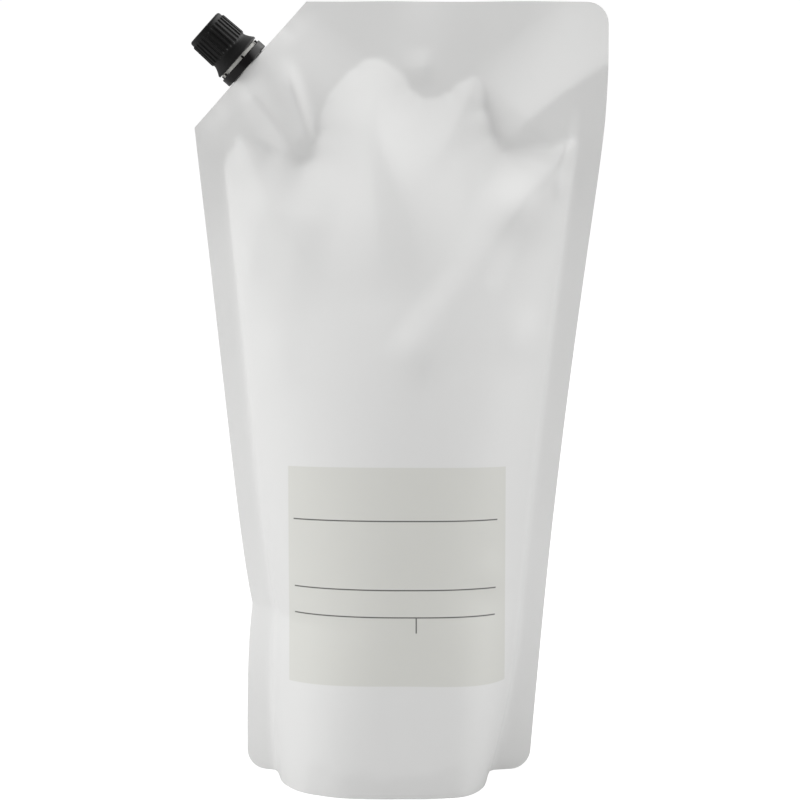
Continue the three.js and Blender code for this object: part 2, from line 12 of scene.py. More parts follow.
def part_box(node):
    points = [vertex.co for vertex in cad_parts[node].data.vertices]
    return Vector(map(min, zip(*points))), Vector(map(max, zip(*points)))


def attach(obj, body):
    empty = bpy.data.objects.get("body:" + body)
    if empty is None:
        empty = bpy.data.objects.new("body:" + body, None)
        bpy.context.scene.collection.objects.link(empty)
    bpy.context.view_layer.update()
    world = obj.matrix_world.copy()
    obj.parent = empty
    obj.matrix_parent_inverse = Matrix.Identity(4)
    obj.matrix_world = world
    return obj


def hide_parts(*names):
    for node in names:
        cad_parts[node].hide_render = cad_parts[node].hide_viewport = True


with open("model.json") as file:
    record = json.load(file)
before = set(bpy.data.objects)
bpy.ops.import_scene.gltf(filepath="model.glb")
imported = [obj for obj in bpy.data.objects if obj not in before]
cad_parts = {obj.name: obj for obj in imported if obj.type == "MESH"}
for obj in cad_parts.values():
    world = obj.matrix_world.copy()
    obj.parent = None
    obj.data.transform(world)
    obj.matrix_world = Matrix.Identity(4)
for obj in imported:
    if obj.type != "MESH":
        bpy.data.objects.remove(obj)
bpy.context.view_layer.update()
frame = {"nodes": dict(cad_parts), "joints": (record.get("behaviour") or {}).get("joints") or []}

MM = 0.001  # sizes are millimetres where no comment says otherwise, and Blender's unit is the metre

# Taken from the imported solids
_, pouch_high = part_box("pouch")
HEIGHT = pouch_high[2] / MM
cap_turn = next(joint for joint in frame["joints"] if joint["name"] == "cap_turn")
SPOUT_PLACE = np.array(cap_turn["pos_m"]) / MM
SPOUT_AXIS = np.array(cap_turn["axis"]) / np.linalg.norm(cap_turn["axis"])

# Outline of the pouch as in the solids, from the middle of the base
TOP_RIGHT = 78.9  # upright part of the right edge
SHOULDER_LEFT = 68.6  # left edge where the corner is cut
BASE_LEFT = 51.6
BASE_RIGHT = 52.4
EAR_LEFT_HEIGHT = 69  # the left edge slants from here up to the cut
PINCH = 2.8  # a buckle pulls the left edge in by this
PINCH_HEIGHT = 61.5
PINCH_REACH = 16  # the buckle dies away over about this height
SHOULDER_DROP = 42  # the right edge turns upright this far below the top
SIDE_BOW = 2.2  # how far the right edge bows in half way up
EDGE_SOFTNESS = 2  # rounding where an edge changes direction
TOP_CORNER_RADIUS = 7.6
EAR_RADIUS = 6.6
CUT_WIDTH = 40.2
CUT_DROP = 44.8
FILM = 0.2
SIDE_SEAL = 8.5
LEFT_TUCK = 2.5  # how much wider the side seals are at the floor
RIGHT_TUCK = 6
TUCK_REACH = 60
TOP_SEAL = 9.5

# Filled body
BELLY_DEPTH = 39
BACK_DEPTH = 35
FILL_DROP = 9.5  # the filling ends this far below the top
FILL_POWER = 2.8  # how late the body thins towards the top
FOOT_SQUARENESS = (2.8, 5.4)  # power of the cross-section at the floor, on the left and on the right
BODY_SQUARENESS = (1.9, 2.3)  # and higher up
FOOT_BLEND = 76
SEAL_ROUNDING = 2
SHOULDER_STEP = 0.9  # the filled film steps up at the shoulder line, and then rises on a slope
SHOULDER_STEP_WIDTH = 2.5
SHOULDER_SLOPE = 0.52
SHOULDER_SHARPNESS = 7  # power of the blend between the slope and the belly
SHOULDER_BLUNTING = 1.5
FOLD_FADE = 14
WAVE_FADE = 6
FOOT_BAND = 8  # height of the foot seal in the middle
FOOT_BAND_RISE = 9
FOOT_BAND_END = 0.8  # share of the half width that it reaches to
FOOT_BAND_FADE = 0.25
FOOT_BAND_WAVE = 0.8  # its upper line is wavy
FOOT_BAND_WAVES = 2.7
FOOT_STEP = 1.6
FOOT_STEP_REACH = 6
GUSSET_LIFT = 3
GUSSET_RIM = 3
GUSSET_SLOPE = 9
TOP_WAVE = 2  # the top seal waves to and fro
TOP_WAVE_LENGTH = 50
TOP_WAVE_START = 32

# Line where the filled film meets the flat film: x from the top's middle, drop below the top
FRONT_SHOULDER = [
    (-66, 80), (-65, 62), (-60.5, 51), (-59, 46.5), (-45, 51.5), (-35, 55.5), (-32, 54), (-30.5, 46),
    (-28.5, 36), (-17, 22.5), (-10, 19), (-1, 23), (5, 30.5), (8.5, 33), (12.5, 33), (17, 31), (22, 27),
    (26.5, 25), (29.5, 28), (31, 38), (33.5, 47), (37, 51), (53, 50), (64, 47.5), (66, 58), (67, 80),
]
BACK_SHOULDER = [
    (-66, 80), (-64, 60), (-56, 47), (-32, 59), (-22, 38), (-4, 20), (18, 36), (40, 27),
    (48, 46), (64, 50), (67, 80),
]

# Folds of the films: points on the crest as in the lines above, rise, width of the flank on the left and on
# the right of someone who walks along it, and length over which the ends run out
FRONT_CREASES = [
    ([(-42, 18), (-40.5, 24), (-36.7, 36.6), (-31, 56)], 2.3, 5, 8, 12),
    ([(-58, 26), (-44.9, 41.9), (-36, 58)], 2.3, 7, 8, 10),
    ([(7.4, 15), (8.2, 24), (8.6, 31)], 1.5, 6, 12, 9),
]
BACK_CREASES = [
    ([(-44, 35), (-30, 57)], 2.5, 8, 8, 10),
    ([(28, 34), (76, 15)], 4, 10, 10, 10),
]
# Soft waves in the filled film
FRONT_WAVES = [
    ([(46, 60), (34, 78), (26, 97), (6, 123), (-2, 132)], 1.8, 10, 12, 16),
    ([(60, 60), (59, 72)], 1, 4, 5, 5),
    ([(44, 106), (44, 132)], 0.7, 10, 10, 12),
    ([(-58, 82), (-56, 104)], 0.5, 7, 7, 10),
    ([(-47, 110), (-43, 142)], 0.6, 9, 10, 14),
    ([(26, 196), (42, 212)], 0.6, 7, 7, 10),
]
# Broad facets of the filled film
FRONT_FACETS = [
    ([(-14, 32), (-5, 106)], 5, 32, 56, 36),
    ([(-62, 70), (-22, 79)], 1.7, 18, 50, 15),
    ([(80, 34), (56, 57.5), (45, 68), (32, 84)], 3, 20, 15, 20),
]
# Fold of both films together, which fans out from a tip towards the square corner
CORNER_FOLD = ([(34.5, 54), (46, 41.5), (58, 32), (70, 24), (98, 8)], 6.3, 25, 22, 17)
CORNER_STAND = 0.35  # share of its rise that the film keeps beyond the fold
CORNER_STAND_REACH = 30
CREST_RADIUS = 1.5
CREASE_ROUNDING = 1.2
# How far back the side seals' edges lie: share of the height up to the cut, distance
LEFT_SWEEP = [(0, 4.5), (0.1, 4.5), (0.26, 6.5), (0.44, 4.5), (0.76, 3), (1, 0)]
RIGHT_SWEEP = [(0, 3), (0.16, 3), (0.33, 4), (0.5, 3), (0.76, 2), (1, 0)]

# Spout's foot, welded between the films, and the tent that they make below it
WELD_LENGTH = 38
WELD_DEPTH = 11.5
WELD_HALF = 6  # half thickness in the middle
WELD_TIP = 1  # thickness at the tips
CLEARANCE = 0.3
WELD_FILM = 0.8
WELD_RUN = 8  # the film comes down over this beyond the foot's tips
TENT_BLEND = 7.667  # from the cut edge inwards, the foot's form turns into the tent over this
TENT_SPREAD = 32  # half width
TENT_FADE = 65

# Spout, measured along its axis from the cut edge outwards
BORE_RADIUS = 4.9
NECK_RADIUS = 5.8
COLLAR_RADIUS = 7.4
BEAD_RADIUS = 8.4
BEAD_FOOT = 2.9
BEAD_TOP = 5
SPOUT_EDGE = 0.4
THREAD_HEIGHT = 0.5
THREAD_PITCH = 3
THREAD_TURNS = 2
THREAD_TOP = 16.6
THREAD_LEAD = 0.15  # share of a turn over which the thread rises

# Tamper ring
RING_HEIGHT = 3.3  # a little lower than the solid, to show the white bead
RING_LIP = 2.3
RING_LIP_RADIUS = 7.7
RING_ROOM_RADIUS = 8.7
RING_EDGE = 0.35
BRIDGES = 6
BRIDGE_TURN = -17  # degrees round the axis
BRIDGE_HALVES = (0.8, 0.4, 0.2667)  # half width inside the ring, at its rim and at the bridge's tip
BRIDGE_DEPTH = 0.6
BRIDGE_INSET = 0.15

# Cap
CAP_ROOM = 6.6
CAP_TOP_WALL = 1.5
CAP_TAPER = 0.3
CAP_FLARE = 4
CAP_FLARE_OUT = 1.67
CAP_FLARE_CURVE = 1.4  # power of the flare's curve: 1 is a plain cone
CAP_LIP = 0.7
CAP_HEM = 0.3
CAP_EDGE = 1
CAP_SKIRT_WALL = 1
RIBS = 28
RIB_DEPTH = 0.5
RIB_START = 1.8
RIB_END = 0.4
RIB_HALF = 0.62
RIB_RAMP = 0.4

# Print on the front film: left, right, low and high edges
LABEL = (-35.2, 42.5, 41.8, 120.2)
RULES = [
    (-33.3, 39.5, 101.0, 101.4),
    (-33, 39, 76.3, 76.7),
    (-33, 38.7, 66.5, 66.9),
    (10.3, 10.7, 61.1, 66.5),
]
PRINT_EDGE = 0.15
PRINT_STAND = 8.5  # the print is whole where the film stands this far off the seals' plane
PRINT_ARCH = 2.0  # the filled film draws the print's ends down by this
PRINT_MIDDLE = 3.6
PRINT_HALF = 38

# Colours and surfaces
FILM_WHITE = "#E4E4E3"
LABEL_INK = "#D9D9D4"
RULE_INK = "#3A3A38"
SPOUT_WHITE = "#DCDBD6"
CAP_BLACK = "#101010"
RING_BLACK = "#0E0C0D"
FILM_IOR = 1.5
FILM_ROUGHNESS = (0.4, 0.46)
FILM_RIPPLE = 9  # length of the film's faint waviness
FILM_RIPPLE_HEIGHT = 0.06
FILM_RIPPLE_DETAIL = 2.0  # how often smaller waves are added to it, and how strong each is to the one before
FILM_RIPPLE_FINENESS = 0.4
PLASTIC_IOR = 1.49
MOULD_GRAIN = 0.5  # an eroded mould's grain is finer, and is drawn this coarse to show
MOULD_GRAIN_DETAIL = 3.0
SPOUT_GRAIN = 0.004  # height of the grain, here and in the next two
RING_GRAIN = 0.002
CAP_GRAIN = 0.006
SPOUT_ROUGHNESS = 0.4
RING_ROUGHNESS = 0.16
CAP_ROUGHNESS = 0.42
ROUGHNESS_SPREAD = 0.05
NOISE_SPAN = (0.3, 0.7)  # most of a noise texture's values lie in here

# Studio: the camera in millimetres and degrees, lamps and floor in metres
CAMERA_PLACE = (4.75, -1187.5, 340.48)
CAMERA_PITCH = 9.653
CAMERA_LENS = 149.68
CAMERA_SENSOR = 36
WORLD_LIGHT = 0.69
WORLD_SEEN = 1.0
ROOM_DARK = 0.15  # the room behind the camera, as mirrored in the object
# What is added to it: strength, direction, and the cosines of the angles to it where it starts and is full
ROOM_LIGHTS = [
    (0.55, (0, 1, 0), (-0.4, 0.5)),  # white backdrop
    (1.9, (0.9, 0.15, 0.4), (0.55, 0.85)),  # white side
]
FLOOR_SIZE = 20
FLOOR_GREY = 0.4  # as seen, where the glow makes it white
FLOOR_GLOW = 0.8
FLOOR_BOUNCE = 0.72  # as it lights the object
FLOOR_MIRRORED = 0.32
# Name, place, size, watts, and whether the object mirrors it
LAMPS = [
    ("left_softbox", (-1.4, -0.15, 0.5), (1.0, 1.4), 11, False),
    ("right_softbox", (1.4, -0.2, 0.4), (1.0, 1.4), 6.2, True),
    ("top_softbox", (0, -0.1, 1.5), (1.4, 1.0), 11.1, False),
]

# Sockets of a mix node, for numbers and for colours
MIX_SHARE = 0
FIRST_NUMBER = 2
SECOND_NUMBER = 3
FIRST_COLOUR = 6
SECOND_COLOUR = 7
MIXED_COLOUR = 2

# Mesh fineness
MERGE = 0.001
FIELD_STEP = 0.5
SHARP = math.radians(40)
CORNER_STEPS = 5
SPOUT_STEPS = 96
SPOUT_ROW = 0.2
RING_STEPS = 144
STEPS_PER_RIB = 12
RIB_ROW = 0.3
FLARE_STEPS = 12
CAP_EDGE_STEPS = 8
EAR_ROWS = 8
BODY_ROWS = 150
CUT_ROWS = 70
CORNER_ROWS = 8
FIN_COLUMNS = 6
COLUMNS = 150
GUSSET_STEPS = 28


# Small shape functions, on numbers or arrays
def ease(t):
    t = np.clip(t, 0, 1)
    return t * t * (3 - 2 * t)


def mix(a, b, t):
    return a + (b - a) * t


def soft_max(a, b, k):
    return (a + b + np.hypot(a - b, k)) / 2


def soft_min(a, b, k):
    return (a + b - np.hypot(a - b, k)) / 2


def creased(t):
    """Flank of a pressed crease, from its foot at 0 to its crest at 1."""
    return t * t


def faceted(t):
    """Flank of a fold between nearly flat facets."""
    return t**1.5


cut_foot = HEIGHT - CUT_DROP
top_middle = (TOP_RIGHT - SHOULDER_LEFT) / 2
cut_run, cut_rise = np.array([CUT_WIDTH, CUT_DROP]) / math.hypot(CUT_WIDTH, CUT_DROP)


# Edges and seals
def side_left(z):
    slant = mix(BASE_LEFT, SHOULDER_LEFT, (z - EAR_LEFT_HEIGHT) / (cut_foot - EAR_LEFT_HEIGHT))
    buckle = PINCH * np.exp(-np.abs(z - PINCH_HEIGHT) / PINCH_REACH)
    return buckle - soft_max(BASE_LEFT, slant, EDGE_SOFTNESS)


def side_right(z):
    rise = z / (HEIGHT - SHOULDER_DROP)
    bow = SIDE_BOW * np.sin(math.pi * np.clip(rise, 0, 1))
    return soft_min(mix(BASE_RIGHT, TOP_RIGHT, rise) - bow, TOP_RIGHT, EDGE_SOFTNESS)


def tuck(z):
    return np.maximum(0, 1 - z / TUCK_REACH) ** 2


def inner_left(z):
    return side_left(z) + SIDE_SEAL + LEFT_TUCK * tuck(z)


def inner_right(z):
    return side_right(z) - SIDE_SEAL - RIGHT_TUCK * tuck(z)


def corner_pull(radius, distance):
    gap = np.maximum(0, radius - distance)
    return radius - np.sqrt(radius**2 - gap**2)


def edge_left(z):
    on_cut = side_left(cut_foot) + CUT_WIDTH * (z - cut_foot) / CUT_DROP
    return np.where(z > cut_foot, on_cut, side_left(z) + corner_pull(EAR_RADIUS, z))


def edge_right(z):
    return side_right(z) - corner_pull(EAR_RADIUS, z) - corner_pull(TOP_CORNER_RADIUS, HEIGHT - z)


# Heights of the films
def weld_profile(along, extra):
    """Half thickness of the spout's foot along the cut edge."""
    bow = 1 - (along / (WELD_LENGTH / 2 + extra)) ** 2
    return WELD_TIP / 2 + extra + (WELD_HALF - WELD_TIP / 2) * bow


def weld_cover(x, z):
    """Height of the film over the spout's foot."""
    dx, dz = x - SPOUT_PLACE[0], z - SPOUT_PLACE[2]
    along = dx * cut_run + dz * cut_rise
    inwards = dx * cut_rise - dz * cut_run
    past_tip = np.abs(along) - WELD_LENGTH / 2 - CLEARANCE
    over_tip = (WELD_TIP / 2 + CLEARANCE + WELD_FILM) * ease(1 - past_tip / WELD_RUN)
    welded = np.where(past_tip < 0, weld_profile(along, CLEARANCE) + WELD_FILM, over_tip)
    tent = weld_profile(0, CLEARANCE) + WELD_FILM
    tent = tent * np.maximum(0, 1 - (along / TENT_SPREAD) ** 2) ** 2
    beyond = np.maximum(0, inwards - WELD_DEPTH)
    return mix(welded, tent, ease(inwards / TENT_BLEND)) * (1 - ease(beyond / TENT_FADE))


def depth_under(line, x, drop):
    """Distance below the shoulder line, square to it; nothing above it."""
    points = np.array(line, float)
    nearness = np.zeros_like(x)
    for start, end in zip(points[:-1], points[1:]):
        run = end - start
        share = ((x - start[0]) * run[0] + (drop - start[1]) * run[1]) / (run @ run)
        share = np.clip(share, 0, 1)
        gap = np.hypot(x - start[0] - share * run[0], drop - start[1] - share * run[1])
        nearness += np.exp(-gap / SHOULDER_BLUNTING)
    below = np.maximum(0, -SHOULDER_BLUNTING * np.log(nearness))
    return np.where(drop > np.interp(x, points[:, 0], points[:, 1]), below, 0)


def fold_height(fold, x, drop, profile, stand=0, fan=0):
    """Height of a fold whose crest follows a line of points and runs out at both ends.

    stand: share of the rise that stays beyond the right flank; fan: how far the flanks narrow at the ends.
    """
    path, rise, left, right, fade = fold
    points = np.array(path, float)
    nearest = np.full(x.shape, np.inf)
    on_left = np.zeros(x.shape, bool)
    along = np.zeros(x.shape)
    walked = 0
    for start, end in zip(points[:-1], points[1:]):
        run = end - start
        length = np.hypot(*run)
        share = np.clip(((x - start[0]) * run[0] + (drop - start[1]) * run[1]) / length**2, 0, 1)
        off_x, off_drop = x - start[0] - share * run[0], drop - start[1] - share * run[1]
        gap = np.hypot(off_x, off_drop)
        closer = gap < nearest
        on_left = np.where(closer, off_x * run[1] > off_drop * run[0], on_left)
        along = np.where(closer, walked + share * length, along)
        nearest = np.minimum(nearest, gap)
        walked += length
    ends = ease(along / fade) * ease((walked - along) / fade)
    from_crest = np.hypot(nearest, CREST_RADIUS) - CREST_RADIUS
    width = np.where(on_left, left, right) * mix(1, ends, fan)
    flank = profile(np.clip(1 - from_crest / np.maximum(width, CREST_RADIUS), 0, 1))
    flank = np.where(on_left, flank, mix(stand * ease(1 - nearest / CORNER_STAND_REACH), 1, flank))
    return rise * flank * ends


def place_across(x, z):
    """Half of the filled width at a height, and the place in it from -1 to 1."""
    half = (inner_right(z) - inner_left(z)) / 2
    return half, (x - inner_left(z)) / half - 1


def belly_height(face, x, z):
    """Height of the filled film if it had no shoulder line and no folds."""
    half, across = place_across(x, z)
    u = np.minimum(1, np.abs(across))
    depth = face["depth"] * (1 - np.minimum(1, z / (HEIGHT - FILL_DROP)) ** FILL_POWER)
    at_foot, higher = (np.where(across < 0, *sides) for sides in (FOOT_SQUARENESS, BODY_SQUARENESS))
    squareness = mix(at_foot, higher, ease(z / FOOT_BLEND))
    section = (1 - u**squareness) ** (1 - depth / (2 * half))  # the deeper, the more upright at its sides
    return depth * section * ease((1 - u) * half / SEAL_ROUNDING)


def foot_step(across, z):
    """How far the film lies back below the upper line of the foot seal."""
    wave = FOOT_BAND_WAVE * np.cos(2 * math.pi * FOOT_BAND_WAVES * across)
    below = np.maximum(0, FOOT_BAND + FOOT_BAND_RISE * across**2 - wave - z)
    ends = ease((FOOT_BAND_END - np.minimum(1, np.abs(across))) / FOOT_BAND_FADE)
    return FOOT_STEP * ends * (1 - np.exp(-below / FOOT_STEP_REACH))


def film_height(face, x, z):
    """How far one film stands off the seals' plane."""
    half, across = place_across(x, z)
    from_sides = half * (1 - np.minimum(1, np.abs(across)))
    from_middle, drop = x - top_middle, HEIGHT - z

    belly = belly_height(face, x, z)
    below = depth_under(face["shoulder"], from_middle, drop)
    slope = SHOULDER_STEP * (1 - np.exp(-below / SHOULDER_STEP_WIDTH)) + SHOULDER_SLOPE * below
    bent = (slope / np.maximum(belly, FILM)) ** SHOULDER_SHARPNESS
    swell = np.minimum(slope / (1 + bent) ** (1 / SHOULDER_SHARPNESS), belly)

    creases = sum(fold_height(fold, from_middle, drop, creased) for fold in face["creases"])
    creases = creases * ease(1 - below / FOLD_FADE) * ease(from_sides / FOLD_FADE)
    waves = sum(fold_height(fold, from_middle, drop, ease) for fold in face["waves"])
    waves = waves + sum(fold_height(fold, from_middle, drop, faceted) for fold in face["facets"])
    waves = waves * ease(from_sides / WAVE_FADE)
    folds = (creases + waves) * ease((drop - TOP_SEAL) / TOP_SEAL)
    return np.maximum(FILM, FILM + swell + weld_cover(x, z) + folds - foot_step(across, z))


FRONT = {
    "depth": BELLY_DEPTH, "shoulder": FRONT_SHOULDER,
    "creases": FRONT_CREASES, "waves": FRONT_WAVES, "facets": FRONT_FACETS,
}
BACK = {
    "depth": BACK_DEPTH, "shoulder": BACK_SHOULDER,
    "creases": BACK_CREASES, "waves": [], "facets": [],
}


def swept(line, height):
    """Value at a height on a line of points, level at each point."""
    heights, values = np.array(line, float).T
    step = np.clip(np.searchsorted(heights, height) - 1, 0, len(line) - 2)
    share = (height - heights[step]) / (heights[step + 1] - heights[step])
    return mix(values[step], values[step + 1], ease(share))


def plane_bend(x, z):
    """How far back the seals' plane lies."""
    wave = np.sin(2 * math.pi * (x - top_middle - TOP_WAVE_START) / TOP_WAVE_LENGTH)
    clear_of_spout = ease((x - SPOUT_PLACE[0] - WELD_LENGTH / 2) / WELD_LENGTH)
    top = TOP_WAVE * wave * ease((z - cut_foot) / CUT_DROP) * clear_of_spout
    corner = fold_height(CORNER_FOLD, x - top_middle, HEIGHT - z, faceted, CORNER_STAND, fan=1)
    corner = corner * ease((z - cut_foot + CUT_DROP) / CUT_DROP)
    into_left = np.maximum(0, inner_left(z) - x) / (inner_left(z) - side_left(z))
    into_right = np.maximum(0, x - inner_right(z)) / (side_right(z) - inner_right(z))
    sweep = swept(LEFT_SWEEP, z / cut_foot) * into_left + swept(RIGHT_SWEEP, z / cut_foot) * into_right
    return top - corner + sweep


# Meshes
class Draft:
    """Points and faces of a mesh in the making."""

    def __init__(self):
        self.points = np.empty((0, 3))
        self.faces = []

    def add_points(self, x, y, z):
        """Adds points, and returns their numbers in the shape of the places."""
        places = np.stack(np.broadcast_arrays(x, y, z), -1)
        first = len(self.points)
        self.points = np.vstack([self.points, places.reshape(-1, 3)])
        return np.arange(first, len(self.points)).reshape(places.shape[:-1])

    def add_strip(self, lower, upper):
        """Adds quads between two rows of point numbers."""
        self.faces += np.stack([lower[:-1], lower[1:], upper[1:], upper[:-1]], -1).tolist()

    def add_skin(self, rows, ends=False):
        """Adds closed rows of points, with quads between them and, where asked, a face on each end."""
        number = self.add_points(*np.moveaxis(rows, -1, 0))
        closed = np.hstack([number, number[:, :1]])
        for lower, upper in zip(closed[:-1], closed[1:]):
            self.add_strip(lower, upper)
        if ends:
            self.faces += [number[0].tolist(), number[-1].tolist()]


def mesh_piece(name, draft, material, body, node, place=Matrix()):
    mesh = bpy.data.meshes.new(name)
    mesh.from_pydata((draft.points * MM).tolist(), [], draft.faces)
    shape = bmesh.new()
    shape.from_mesh(mesh)
    bmesh.ops.remove_doubles(shape, verts=shape.verts, dist=MERGE * MM)
    bmesh.ops.recalc_face_normals(shape, faces=shape.faces)
    shape.to_mesh(mesh)
    shape.free()
    mesh.transform(place)
    mesh.shade_smooth()
    mesh.set_sharp_from_angle(angle=SHARP)
    mesh.materials.append(material)
    piece = bpy.data.objects.new(name, mesh)
    bpy.context.scene.collection.objects.link(piece)
    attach(piece, body)
    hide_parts(node)
    return piece


def stretch(start, end, count):
    return np.linspace(start, end, count + 1)[1:]


# Pouch
def film_grid():
    """Places of the films' mesh points, as rows from the floor up and columns from left to right."""
    z = np.concatenate([
        [0],
        EAR_RADIUS * (1 - np.cos(stretch(0, math.pi / 2, EAR_ROWS))),
        stretch(EAR_RADIUS, cut_foot, BODY_ROWS),
        stretch(cut_foot, HEIGHT - TOP_CORNER_RADIUS, CUT_ROWS),
        HEIGHT - TOP_CORNER_RADIUS * (1 - np.sin(stretch(0, math.pi / 2, CORNER_ROWS))),
    ])
    left, right = edge_left(z), edge_right(z)
    film_left = np.where(z > cut_foot, left + SIDE_SEAL, inner_left(z))
    film_right = inner_right(z)
    even = np.linspace(0, 1, COLUMNS + 1)
    crowded = (1 - np.cos(math.pi * even)) / 2  # towards both seals
    fin = np.linspace(0, 1, FIN_COLUMNS + 1)
    x = np.hstack([
        mix(left[:, None], film_left[:, None], fin[:-1]),
        mix(film_left[:, None], film_right[:, None], (even + crowded) / 2),
        mix(film_right[:, None], right[:, None], fin[1:]),
    ])
    return x, np.repeat(z[:, None], x.shape[1], 1)


def soft_film_height(face, x, z):
    """The film's height with its creases rounded, at the places of the mesh points."""
    grid_x = np.arange(-SHOULDER_LEFT - SIDE_SEAL, TOP_RIGHT + SIDE_SEAL, FIELD_STEP)
    grid_z = np.arange(-SIDE_SEAL, HEIGHT + SIDE_SEAL, FIELD_STEP)
    heights = film_height(face, *np.meshgrid(grid_x, np.clip(grid_z, 0, HEIGHT)))
    # Each pass keeps half of a place's height and takes the other half from its four neighbours
    for _ in range(round((CREASE_ROUNDING / FIELD_STEP) ** 2)):
        inner = heights[1:-1, 1:-1]
        around = heights[:-2, 1:-1] + heights[2:, 1:-1] + heights[1:-1, :-2] + heights[1:-1, 2:]
        heights[1:-1, 1:-1] = inner / 2 + around / 8
    column, row = (x - grid_x[0]) / FIELD_STEP, (z - grid_z[0]) / FIELD_STEP
    i, j = column.astype(int), row.astype(int)
    low = mix(heights[j, i], heights[j, i + 1], column - i)
    high = mix(heights[j + 1, i], heights[j + 1, i + 1], column - i)
    return mix(low, high, row - j)


def add_socket(draft, front, back, x, z):
    """The cut edge from front to back film, with the socket that the spout's foot is welded into."""
    along = (x - SPOUT_PLACE[0]) * cut_run + (z - SPOUT_PLACE[2]) * cut_rise
    in_weld = np.abs(along) < WELD_LENGTH / 2 + CLEARANCE
    room = np.where(in_weld, weld_profile(along, CLEARANCE), FILM / 2)
    depth = np.where(in_weld, WELD_DEPTH + CLEARANCE, FILM)
    deep_x, deep_z = x + depth * cut_rise, z - depth * cut_run
    loop = [
        front,
        draft.add_points(x, -room, z),
        draft.add_points(deep_x, -room, deep_z),
        draft.add_points(deep_x, room, deep_z),
        draft.add_points(x, room, z),
        back,
    ]
    for near, far in zip(loop[:-1], loop[1:]):
        draft.add_strip(near, far)
    draft.faces += [[line[0] for line in loop], [line[-1] for line in loop]]


def gusset_lift(distance):
    up = ease((distance - GUSSET_RIM) / GUSSET_SLOPE)
    down = ease((distance - GUSSET_RIM - GUSSET_SLOPE) / GUSSET_SLOPE)
    return GUSSET_LIFT * (up - down)


def add_base(draft, front, back, x, front_y, back_y):
    """The base film, in columns from the front film's foot to the back film's."""
    x, near, far = x[:, None], front_y[:, None], back_y[:, None]
    y = mix(near, far, np.linspace(0, 1, GUSSET_STEPS + 1)[1:-1])
    to_seal = np.minimum(x - x[FIN_COLUMNS], x[-FIN_COLUMNS - 1] - x)
    lift = gusset_lift(np.minimum(np.minimum(y - near, far - y), to_seal))
    base = np.hstack([front[0][:, None], draft.add_points(x, y, lift), back[0][:, None]])
    for column, following in zip(base[:-1], base[1:]):
        draft.add_strip(column, following)
    for end in (0, -1):
        draft.faces.append([*base[end], back[1, end], front[1, end]])


def pouch(material):
    x, z = film_grid()
    bend = plane_bend(x, z)
    front_y = bend - soft_film_height(FRONT, x, z)
    back_y = bend + soft_film_height(BACK, x, z)
    draft = Draft()
    front = draft.add_points(x, front_y, z)
    back = draft.add_points(x, back_y, z)
    for j in range(len(x) - 1):
        draft.add_strip(front[j], front[j + 1])
        draft.add_strip(back[j, ::-1], back[j + 1, ::-1])
    draft.add_strip(front[-1], back[-1])

    cut_start = int(np.argmax(z[:, 0] > cut_foot)) - 1
    draft.add_strip(front[1:, -1], back[1:, -1])
    draft.add_strip(front[1:cut_start + 1, 0], back[1:cut_start + 1, 0])
    add_socket(draft, front[cut_start:, 0], back[cut_start:, 0], x[cut_start:, 0], z[cut_start:, 0])
    add_base(draft, front, back, x[0], front_y[0], back_y[0])
    return mesh_piece("pouch_film", draft, material, "pack", "pouch")


# Spout, ring and cap, in the spout's own frame with +Z along its axis
def spout_frame():
    along_cut = np.array([cut_run, 0, cut_rise])
    across = np.cross(SPOUT_AXIS, along_cut)
    placed = np.eye(4)
    placed[:3, :3] = np.stack([along_cut, across, SPOUT_AXIS], 1)
    placed[:3, 3] = SPOUT_PLACE * MM
    return Matrix(placed.tolist())


def reach_on_axis(node):
    """Lowest and highest place of a solid along the spout's axis, and its outer radius."""
    inverse = spout_frame().inverted()
    places = np.array([inverse @ vertex.co for vertex in frame["nodes"][node].data.vertices]) / MM
    return places[:, 2].min(), places[:, 2].max(), np.hypot(places[:, 0], places[:, 1]).max()


def soft_corners(profile, reach):
    """Rounds the inner corners of a line of (radius, height) points, each up to half way to the next."""
    points = np.array(profile, float)
    line = [points[0]]
    for before, corner, after in zip(points[:-2], points[1:-1], points[2:]):
        to_before, to_after = before - corner, after - corner
        start = corner + to_before * min(0.5, reach / np.hypot(*to_before))
        end = corner + to_after * min(0.5, reach / np.hypot(*to_after))
        for t in np.linspace(0, 1, CORNER_STEPS + 1):
            line.append(mix(mix(start, corner, t), mix(corner, end, t), t))
    return np.array([*line, points[-1]])


def divided(profile, step):
    """Puts points into the long stretches of a profile."""
    line = [profile[0]]
    for start, end in zip(profile[:-1], profile[1:]):
        count = max(1, math.ceil(np.hypot(*np.subtract(end, start)) / step))
        line += [mix(np.array(start), np.array(end), t) for t in stretch(0, 1, count)]
    return np.array(line)


def turned(profile, steps, shift=lambda angle, height: 0):
    """Rows of points of a profile turned about the axis, and shifted outwards where it isn't on the axis."""
    angle = np.linspace(0, 2 * math.pi, steps, endpoint=False)[None]
    radius, height = np.array(profile).T[:, :, None]
    radius = np.maximum(0, radius + np.where(radius > 0, shift(angle, height), 0))
    return np.stack(np.broadcast_arrays(radius * np.cos(angle), radius * np.sin(angle), height), -1)


def thread_rise(angle, height):
    turns = (THREAD_TOP - height) / THREAD_PITCH + angle / (2 * math.pi)
    from_crest = np.abs(turns - np.round(turns)) * THREAD_PITCH
    started = ease(turns / THREAD_LEAD) * ease((THREAD_TURNS - turns) / THREAD_LEAD)
    return THREAD_HEIGHT * started * ease(1 - from_crest / THREAD_HEIGHT)


